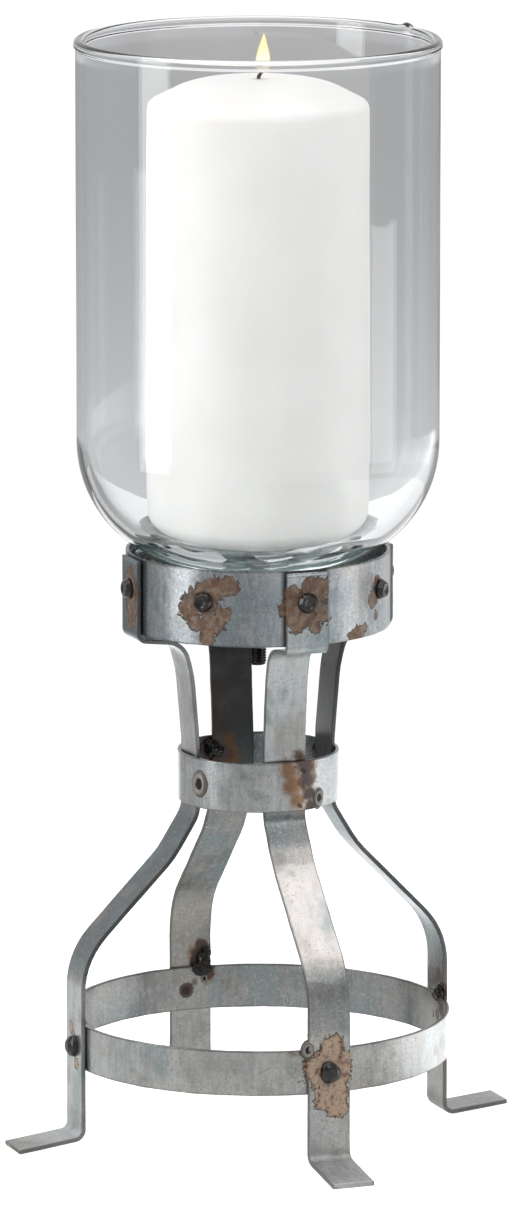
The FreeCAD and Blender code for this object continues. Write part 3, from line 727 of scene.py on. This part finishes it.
# and (angle from the camera, painted light and wear) round the bands
COLLAR_PAINTED_LIGHT_AND_WEAR = [(-180, 0.2), (-100, -0.4), (-66, -0.7), (-57, -0.45), (-46, 0), (-30, 0.12), (0, 0.05),
                (30, 0.05), (75, 0.15), (180, 0.2)]
WAIST_PAINTED_LIGHT_AND_WEAR = [(-180, -0.2), (-110, 0), (-90, 0.4), (-60, 0.45), (-25, 0.35), (10, 0.3), (30, 0.15),
               (52, 0.45), (90, 0.3), (120, -0.2), (180, -0.2)]
BASE_PAINTED_LIGHT_AND_WEAR = [(-180, -0.2), (-110, -0.2), (-80, 0.45), (-55, 0.4), (-40, 0.2), (-15, 0.1), (30, 0.1),
              (36, -0.15), (44, 0.1), (52, 0.35), (62, 0.5), (67, 0.5), (72, 0.25), (80, 0.15),
              (110, -0.25), (180, -0.2)]


def from_table(table, place):
    """Straight-line reading of a table of (place, value) rows."""
    if place <= table[0][0]:
        return table[0][1]
    for (low, a), (high, b) in zip(table, table[1:]):
        if place <= high:
            return lerp(a, b, (place - low) / (high - low))
    return table[-1][1]


def painted_light_and_wear_round(table):
    """Painted light and wear of a band by its angle from the camera."""
    def value_of(point):
        angle = degrees(atan2(point.y, point.x)) + 90.0 + PHOTO_SIDE
        return from_table(table, (angle + 180) % 360.0 - 180)
    return value_of


def lobe_field(table, usual_strength=0.8):
    """Value of a point by the strongest lobe that reaches it."""
    spots = []
    for radius, rows in table.items():
        for angle, height, reach, *strength in rows:
            spots.append((polar(angle, radius, height), reach, *(strength or [usual_strength])))

    def value_of(point):
        best = -0.6
        for centre, reach, strength in spots:
            distance = (point - centre).length
            if distance < reach * 2.2:
                best = max(best, strength * (1.0 - distance / reach))
        return best
    return value_of


WEAR = {"rust": lobe_field(RUST), "burn": lobe_field(BURN), "tint": lobe_field(HEAT)}


def nought(point):
    return 0.0


def dress_steel(piece, edge_of=nought, painted_shade_and_darkening_of=nought, painted_light_and_wear_of=nought):
    """Stores the wear, painted shade and painted light of a steel sheet; each function takes a point in
    millimetres.
    """
    spots = [v.co / MM for v in piece.data.vertices]
    fields = {**WEAR, "edge": edge_of, "painted_shade_and_darkening": painted_shade_and_darkening_of, "painted_light_and_wear": painted_light_and_wear_of}
    for name, value_of in fields.items():
        add_field(piece, name, [value_of(spot) for spot in spots])


# ---- bands and straps

def make_band(name, node, size, material, painted_light_and_wear, painted_shade_and_darkening_of=nought):
    radius, bottom, height = size
    section = strap_section(height, BAND_SHEET, 0.35)
    stations = ring_stations(radius - BAND_SHEET / 2, bottom + height / 2)
    band = sweep(name, stations, section, True, radius, upright_grain=True)

    def edge_of(point):
        gap = min(point.z - bottom, bottom + height - point.z)
        return smooth_step(1.0 - gap / 1.6)

    dress_steel(band, edge_of, painted_shade_and_darkening_of, painted_light_and_wear_round(painted_light_and_wear))
    finish_piece(band, material, "galvanised_strap", node)


def collar_gap_painted_shadow(point):
    """Outside the collar, painted shadow: black in the gaps behind the flat straps' edges and under the
    straps.
    """
    if hypot(point.x, point.y) < COLLAR[0] - BAND_SHEET * 0.5:
        return 0.0
    aside = min(abs(point.x), abs(point.y))
    return 0.95 * smooth_step((STRAP_WIDTH / 2 + 1.6 - aside) / 0.9)


def nested_middle(ring_radius):
    """Distance from the axis to the middle of a flat strap that lies inside a ring."""
    inner = ring_radius - BAND_SHEET
    return sqrt(inner ** 2 - (STRAP_WIDTH / 2) ** 2) - STRAP_SHEET / 2 - SNUG_GAP


def leg_corners(slope):
    base = BASE[0] + STRAP_SHEET / 2
    waist = nested_middle(WAIST[0])
    tilt = radians(slope)
    toe = TOE_REACH - STRAP_SHEET / 2 * abs(sin(tilt))
    drop = (toe - base) * tan(tilt)
    heel = max(STRAP_SHEET / 2 * cos(tilt) + drop,
               HEEL_BEND + STRAP_SHEET / 2 - HEEL_BEND * tan(pi / 4 - tilt / 2))
    collar = COLLAR[0] + STRAP_SHEET / 2
    return [(collar, LEG_TOP, 0), (collar, 232.8, 3.6), (39.6, 230.4, 11), (35.4, 215, 60),
            (waist, 182, 60), (waist, 151, 14), (44.5, 131.9, 45), (base, 87, 37),
            (base, heel, HEEL_BEND), (toe, heel - drop, 0)]


def make_leg(side, material):
    turn, slope = LEGS[side]
    stations = strap_stations(leg_corners(slope), turn)
    leg = sweep("leg_strap_" + side, stations, strap_section(), False, turn / 10 + 2)
    sideways = around(radians(turn + 90), 1, 0)

    # painted shade: darker along both side edges, for the gap where the flat strap stands off the curved
    # bands
    def edge_of(point):
        return smooth_step(1.0 - (STRAP_WIDTH / 2 - abs(point.dot(sideways))) / 1.5)

    # painted shade on the left leg, on the collar and from its flare to the waist; the other legs darker
    # above the waist, the back leg most
    def painted_shade_and_darkening_of(point):
        if side == "left":
            return max(0.35 * smooth_step((point.z - 230) / 6),
                       0.35 * smooth_step((point.z - 80) / 8) * smooth_step((156 - point.z) / 8))
        if point.z > 233:
            return 0.0
        if side == "front":
            return 0.10 * smooth_step((point.z - 176) / 10)
        if side == "back":
            return lerp(0.72, 0.93, smooth_step((point.z - 166) / 25)) * smooth_step((point.z - 146) / 12)
        return lerp(0.35, 0.80, smooth_step((point.z - 176) / 40)) * smooth_step((point.z - 150) / 20)

    # painted highlight and painted shade up the leg, from its table
    dress_steel(leg, edge_of, painted_shade_and_darkening_of, lambda point: from_table(LEG_PAINTED_LIGHT_AND_WEAR[side], point.z))
    finish_piece(leg, material, "galvanised_strap", "leg_" + side)


def make_cross_strap(node, turn, level, material):
    tab = nested_middle(COLLAR[0])
    floor = COLLAR[1] + STRAP_SHEET * (level + 0.5)
    corners = [(-tab, TAB_TOP, 0), (-tab, floor, 3), (tab, floor, 3), (tab, TAB_TOP, 0)]
    strap = sweep(node + "_bent", strap_stations(corners, turn), strap_section(), False, level + 11)
    # painted highlight: the cross straps lighter all over
    dress_steel(strap, painted_light_and_wear_of=lambda point: 0.5)
    finish_piece(strap, material, "galvanised_strap", node)


# ---- fasteners

def merged(name, parts):
    """One mesh from several (points, faces) parts."""
    points, faces = [], []
    for part_points, part_faces in parts:
        start = len(points)
        points += part_points
        faces += [tuple(i + start for i in face) for face in part_faces]
    return make_object(name, points, faces)


def turned_part(profile, segments, place, rough=0.0, seed=0, corner=None):
    """A lathe part along +X of its own frame, set in place by a matrix.

    rough makes it lumpy, and corner pulls its rim out towards one angle.
    """
    points = []
    for ring in range(segments):
        angle = 2 * pi * ring / segments
        for axial, radius in profile:
            radius = max(radius, 0)
            spot = Vector((axial, radius * cos(angle), radius * sin(angle)))
            swell = 1.0 + rough * fractal(spot, 4, seed) / max(radius, 1) if radius > 0.1 else 1.0
            if corner is not None:
                swell += 0.24 * max(0, cos(angle - corner)) ** 6
            spot.y *= swell
            spot.z *= swell
            points.append(place @ spot)
    return points, grid_faces(segments, len(profile), True, False)


def facing(turn, radius, height):
    """Matrix that sets a part's +X along the outward direction at compass turn from +X."""
    return Matrix.Rotation(radians(turn), 4, "Z") @ Matrix.Translation(Vector((radius, 0, height)))


def bolt_profile():
    """Button head with a shallow dimple in its crown, shank with a few thread turns at its end."""
    radius, pitch = 4.65, 0.8
    profile = rounded_path([
        (BOLT_HEAD - 0.6, 0, 0), (BOLT_HEAD - 0.5, 1.6, 0.4), (BOLT_HEAD, 2.5, 0.5),
        (BOLT_HEAD, radius - 1.2, 0.7), (1.1, radius, 0.5), (0, radius, 0.3), (0, BOLT_SHANK, 0)],
        arc_step=12.0)
    halves = 2 * int(BOLT_LENGTH / pitch)
    for k in range(halves + 1):
        profile.append((-lerp(0, BOLT_LENGTH - 0.5, k / halves), BOLT_SHANK - (0.35 if k % 2 else 0)))
    profile += [(-BOLT_LENGTH, BOLT_SHANK - 0.5), (-BOLT_LENGTH, 0)]
    return profile


def make_bolts(name, node, turn, seat, material):
    parts = []
    for k in range(4):
        place = facing(turn + 90 * k, seat, BOLT_HEIGHT) @ Matrix.Rotation(0.5 + k, 4, "X")
        parts.append(turned_part(bolt_profile(), 36, place, 0.10, k + turn))
    bolts = merged(name, parts)
    finish_piece(bolts, material, "dark_fastener", node)


def make_rivets(material):
    """Hammered heads, each a little different."""
    parts = []
    for k in range(4):
        outline = rounded_path([
            (3.9, 0, 0), (3.9, 2.2, 1.2), (2.2, 4.6, 1.6), (0, 4.75, 0.4), (0, 2.5, 0),
            (-3.6, 2.5, 0), (-3.6, 0, 0)], arc_step=18.0)
        place = facing(90 * k, BASE[0] + STRAP_SHEET, RIVET_HEIGHT)
        parts.append(turned_part(outline, 30, place, 0.75, 21 + k, radians(60 * k - 65)))
    rivets = merged("base_rivets_hammered", parts)
    finish_piece(rivets, material, "dark_fastener", "base_rivets")


def hex_part(flats, bore, height, place):
    """A nut along +Z with chamfered corners."""
    segments, half = 72, flats / 2
    points = []
    for k in range(segments):
        angle = 2 * pi * k / segments
        corner = half / cos((angle % (pi / 3)) - pi / 6)
        slope = (corner - half * 0.98) * tan(radians(30))
        rows = [(bore, 0.35), (bore + 0.4, 0), (half * 0.96, 0), (corner, max(slope, 0.05)),
                (corner, height - max(slope, 0.05)), (half * 0.96, height), (bore + 0.4, height),
                (bore, height - 0.35)]
        for radius, level in rows:
            points.append(place @ around(angle, radius, level))
    return points, grid_faces(segments, 8, True, True)


def make_nuts(name, node, turn, outer, material):
    parts = []
    for k in range(4):
        place = facing(turn + 90 * k, outer, BOLT_HEIGHT) @ Matrix.Rotation(-pi / 2, 4, "Y")
        parts.append(hex_part(8, 2.5, 4, place))
    nuts = merged(name, parts)
    sharpen(nuts)
    finish_piece(nuts, material, "zinc_fastener", node)


def sharpen(piece, angle=25.0):
    piece.data.set_sharp_from_angle(angle=radians(angle))


def make_centre_bolt(material):
    """The long bolt: low round head inside the glass, threaded down to its blunt end."""
    columns, rows, points = 40, int((STUD_TOP - STUD_END) / STUD_PITCH * 6), []
    for row in range(rows + 1):
        level = lerp(STUD_END, STUD_TOP, row / rows)
        for k in range(columns):
            turn = k / columns
            phase = (level / STUD_PITCH - turn) % 1.0
            groove = 0.68 * abs(phase * 2 - 1)
            fade = smooth_step((level - STUD_END) / 1.4)
            radius = 4.0 - groove - 0.55 * (1 - fade)
            points.append(around(turn * 2 * pi, radius, level))
    head = rounded_path([(0, 2.8, 0), (2.3, 2.8, 0), (2.6, 4.4, 0.4), (4.4, 4.4, 1.5),
                         (7, 1.2, 1.2), (7, 0, 0.3), (0, 0, 0)], arc_step=15.0)
    place = Matrix.Translation(UP * STUD_TOP) @ Matrix.Rotation(-pi / 2, 4, "Y")
    crown = turned_part([(p.y, p.x) for p in head], 40, place)
    bolt = merged("centre_bolt_threaded", [(points, rod_faces(rows + 1, columns)), crown])
    sharpen(bolt, 50)
    finish_piece(bolt, material, "zinc_fastener", "centre_bolt")


def node_span(node):
    """Lowest height and thickness of a CAD node, in millimetres."""
    low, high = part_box(node)
    return low[2] / MM, (high[2] - low[2]) / MM


def make_stack(materials):
    """Nuts and washers on the centre bolt."""
    for node in ("seat_nut", "cross_nut", "clamp_nut"):
        bottom, height = node_span(node)
        place = Matrix.Translation(UP * bottom)
        nut = merged(node + "_chamfered", [hex_part(13, 3.6, height, place)])
        sharpen(nut)
        finish_piece(nut, materials["plated"], "zinc_fastener", node)
    discs = [("head_gasket", 11, "gasket", "rubber"), ("seat_gasket", 16, "gasket", "rubber"),
             ("seat_plate", 15, "plated", "zinc_fastener"), ("flat_washer", 8, "plated", "zinc_fastener")]
    for node, radius, look, slot in discs:
        bottom, thick = node_span(node)
        outline = rounded_path([(4.05, bottom, 0.2), (radius, bottom, 0.35), (radius, bottom + thick, 0.35),
                                (4.05, bottom + thick, 0.2)], closed=True, arc_step=30.0)
        disc = lathe(node + "_edged", outline, 64)
        sharpen(disc, 40)
        finish_piece(disc, materials[look], slot, node)
    # split washer: a short helix of square wire
    spring_bottom, _ = node_span("spring_washer")
    points, rows = [], 60
    for row in range(rows + 1):
        turn = lerp(0.09, 2 * pi - 0.09, row / rows)
        lift = spring_bottom + 0.15 * row / rows
        for radius, level in ((4.2, 0.1), (7.3, 0.1), (7.3, 1.8), (4.2, 1.8)):
            points.append(around(turn, radius, lift + level))
    spring = make_object("spring_washer_coil", points, rod_faces(rows + 1, 4))
    sharpen(spring, 40)
    finish_piece(spring, materials["plated"], "zinc_fastener", "spring_washer")


# Beads beside a leg turned to +X: (centre, half sizes, seed of its lumps)
BASE_WELD = [((85, -5.8, 58.6), (2.2, 3.1, 5.6), 31), ((84.7, -3.6, 55.4), (2, 3.4, 2.9), 41),
             ((86, -7.6, 62.4), (1.5, 1.9, 3), 81), ((84.6, -7.9, 55.8), (1.6, 2.2, 1.9), 91)]
SMALL_BASE_WELD = [((85.8, -8.6, 57.8), (1.8, 2.4, 3.4), 31), ((85, -6.4, 56.2), (1.6, 2.2, 2.2), 41)]
WAIST_WELD = [((32.6, 11, 173.4), (1.6, 1.7, 2.6), 51)]
LARGE_WAIST_WELD = [((31.9, 10.4, 172.2), (2.4, 3.2, 4), 50), ((31.2, 7.6, 170.2), (1.8, 2.8, 2.6), 60)]


def weld_part(centre, sizes, spin, seed):
    """A lumpy bead: a ball stretched to sizes and roughened."""
    rows, columns, points = 18, 28, []
    for i in range(rows + 1):
        tilt = pi * i / rows
        for k in range(columns):
            turn = 2 * pi * k / columns
            unit = around(turn, sin(tilt), cos(tilt))
            lump = 1.0 + 0.36 * fractal(unit * 4, 4, seed, 2)
            lump += 0.14 * fractal(unit * 4, 1.5, seed + 3, 2)
            spot = Vector([u * s for u, s in zip(unit, sizes)]) * lump
            points.append(spin @ spot + centre)
    return points, grid_faces(rows + 1, columns, False, True)


def make_welds(material):
    for ring, usual, odd_leg, odd in (("base", BASE_WELD, 0, SMALL_BASE_WELD),
                                      ("waist", WAIST_WELD, 1, LARGE_WAIST_WELD)):
        parts = []
        for k in range(4):
            spin = Matrix.Rotation(radians(90 * k), 3, "Z")
            for centre, sizes, seed in odd if k == odd_leg else usual:
                parts.append(weld_part(spin @ Vector(centre), sizes, spin, seed + k))
        welds = merged(ring + "_welds_beads", parts)
        finish_piece(welds, material, "weld", ring + "_welds")


def make_craters(material):
    """Burst spatter, each a low ring round a shallow dip, whose hole is painted black as shade."""
    profile = rounded_path([(0.12, 0, 0), (0.12, 1.2, 0.2), (0.62, 1.7, 0.3), (0.40, 2.5, 0.6),
                            (-0.35, 3.6, 0), (-0.35, 0, 0)], arc_step=12.0)
    parts, radii = [], []
    for angle, radius, height, size, flip in CRATERS:
        place = facing(angle - 90 - PHOTO_SIDE, radius, height) @ Matrix.Rotation(radians(flip), 4, "Z")
        place = place @ Matrix.Diagonal((1, 0.85, 1.15, 1))
        parts.append(turned_part([(p.x * size, p.y * size) for p in profile], 28, place, 0.18, 71))
        radii += [p.y for p in profile] * 28
    craters = merged("spatter_craters", parts)
    add_field(craters, "radius", radii)
    finish_piece(craters, material, "weld")


# ---- stage, lights, camera

def make_stage():
    """Pale paper: white to the eye, dimmer with distance in what it lights and in reflections."""
    rings = [(0, 0), (300, 0), (600, 0), (900, 0)]
    floor = lathe("floor", rings, 96, False)
    g = Graph("floor_paper")
    where = g.spot()
    spread = g.feed(g.node("VectorMath", operation="LENGTH"), where).outputs["Value"]
    sheet = g.mix(g.band(spread, 0.22, 0.80), (0.84, 0.84, 0.83), (0.47, 0.47, 0.475))
    corner = g.along(where, polar(132, 1, 0))
    sheet = g.mix(g.band(corner, 0.11, 0.20), sheet, (1.9, 1.9, 1.93))
    sheet = g.mix(g.times(g.ray("Transmission"), 0.6), sheet, (0.40, 0.40, 0.405))
    paper = g.shader("BsdfDiffuse", Color=(0.5, 0.5, 0.5))
    white = g.feed(g.node("AddShader"), g.shader("Emission", Strength=0.93), paper).outputs[0]
    g.surface(g.blend(g.ray("Camera"), g.shader("Emission", Color=sheet), white))
    floor.data.materials.append(g.material)
    floor.location.z = -0.0002


def make_world():
    """White to the eye; to what it lights, a grey studio with a bright ceiling and backdrop."""
    world = bpy.data.worlds.new("studio")
    bpy.context.scene.world = world
    g = Graph("studio", world)
    where = g.node("TexCoord").outputs["Generated"]
    rise = g.along(where, (0, 0, 1))
    behind = g.along(where, polar(180, 1, 0))
    right = g.along(where, polar(90, 1, 0))
    backdrop = g.times(g.band(rise, -0.128, -0.105), g.band(behind, 0, 0.6))
    right_corner = g.times(g.band(right, 0.20, 0.50), g.band(behind, -0.10, 0.35))
    right_corner = g.times(right_corner, g.band(rise, -0.172, -0.184))
    front_card = g.band(g.along(where, polar(42, 1, 0)), 0.72, 0.92)
    light = g.add(0.40, g.times(g.band(rise, 0.80, 0.86), 1.20))
    for glow, strength in ((backdrop, 0.50), (right_corner, 0.75), (g.band(rise, -0.135, -0.18), 0.17),
                           (g.times(front_card, g.band(rise, 0.20, -0.05)), 0.45)):
        light = g.add(light, g.times(glow, strength))
    lit = g.shader("Background", Color=(0.988, 0.987, 1), Strength=light)
    seen = g.shader("Background", Color=(1, 1, 1), Strength=1.05)
    g.surface(g.blend(g.ray("Camera"), lit, seen))


def add_softbox(name, angle, distance, low, high, width, power):
    """A standing softbox at a compass angle from the camera, facing the lantern."""
    data = bpy.data.lights.new(name, "AREA")
    data.shape = "RECTANGLE"
    data.size = width
    data.size_y = high - low
    data.energy = power
    lamp = add_object(name, data)
    lamp.location = polar(angle, distance, (low + high) / 2)
    inward = Vector((-lamp.location.x, -lamp.location.y, 0)).normalized()
    lamp.rotation_euler = inward.to_track_quat("-Z", "Y").to_euler()
    lamp.visible_camera = False


def add_camera():
    data = bpy.data.cameras.new("camera")
    data.sensor_width = 36.0
    data.lens = LENS
    data.clip_end = 50.0
    camera = add_object("camera", data)
    rise = radians(CAMERA_RISE)
    side = polar(0, cos(rise), sin(rise))
    camera.location = Vector(CAMERA_TARGET) + side * CAMERA_DISTANCE
    camera.rotation_euler = (-side).to_track_quat("-Z", "Y").to_euler()
    bpy.context.scene.camera = camera


# ---- build everything

def main():
    scene = bpy.context.scene
    scene.view_settings.view_transform = "Standard"
    scene.view_settings.look = "None"
    scene.cycles.max_bounces = 14
    scene.cycles.transmission_bounces = 12
    scene.cycles.transparent_max_bounces = 12
    scene.cycles.use_denoising = True

    add_camera()
    make_world()
    make_stage()
    add_softbox("key", -67, 1, 0.06, 1.5, 0.38, 5.5)
    add_softbox("fill", 25, 1.3, 0.9, 1.7, 1.3, 5)
    add_softbox("side", 85, 1.1, 0, 0.27, 0.40, 0.5)

    zinc = zinc_material("galvanised_zinc")
    dark = dark_metal("black_oxide")
    slag = dark_metal("weld_slag", (0.004, 0.004, 0.004), (0.022, 0.014, 0.010), 0.10, 0.4)
    materials = {"plated": plated_material("dull_plating"), "gasket": gasket_material("gasket_silicone")}

    make_glass(glass_material("clear_glass"))
    make_candle(wax_material("white_wax"))
    make_wick(wick_material("wick_cotton"))
    make_flame(flame_material("flame_glow"))

    make_band("collar_sheet", "collar_band", COLLAR, zinc, COLLAR_PAINTED_LIGHT_AND_WEAR, collar_gap_painted_shadow)
    make_band("waist_sheet", "waist_ring", WAIST, zinc, WAIST_PAINTED_LIGHT_AND_WEAR)
    make_band("base_sheet", "base_ring", BASE, zinc, BASE_PAINTED_LIGHT_AND_WEAR)
    for side in LEGS:
        make_leg(side, zinc)
    make_cross_strap("cross_strap_lower", 45, 0, zinc)
    make_cross_strap("cross_strap_upper", 135, 1, zinc)

    make_bolts("leg_bolts_heads", "leg_bolts", 0, COLLAR[0] + STRAP_SHEET, dark)
    make_bolts("tab_bolts_heads", "tab_bolts", 45, COLLAR[0], dark)
    make_nuts("leg_nuts_chamfered", "leg_nuts", 0, COLLAR[0] - BAND_SHEET - 0.2, materials["plated"])
    tab_face = nested_middle(COLLAR[0]) - STRAP_SHEET / 2
    make_nuts("tab_nuts_chamfered", "tab_nuts", 45, tab_face, materials["plated"])
    make_rivets(dark)
    make_centre_bolt(dark)
    make_stack(materials)
    make_welds(slag)
    make_craters(crater_material("burst_spatter"))


main()
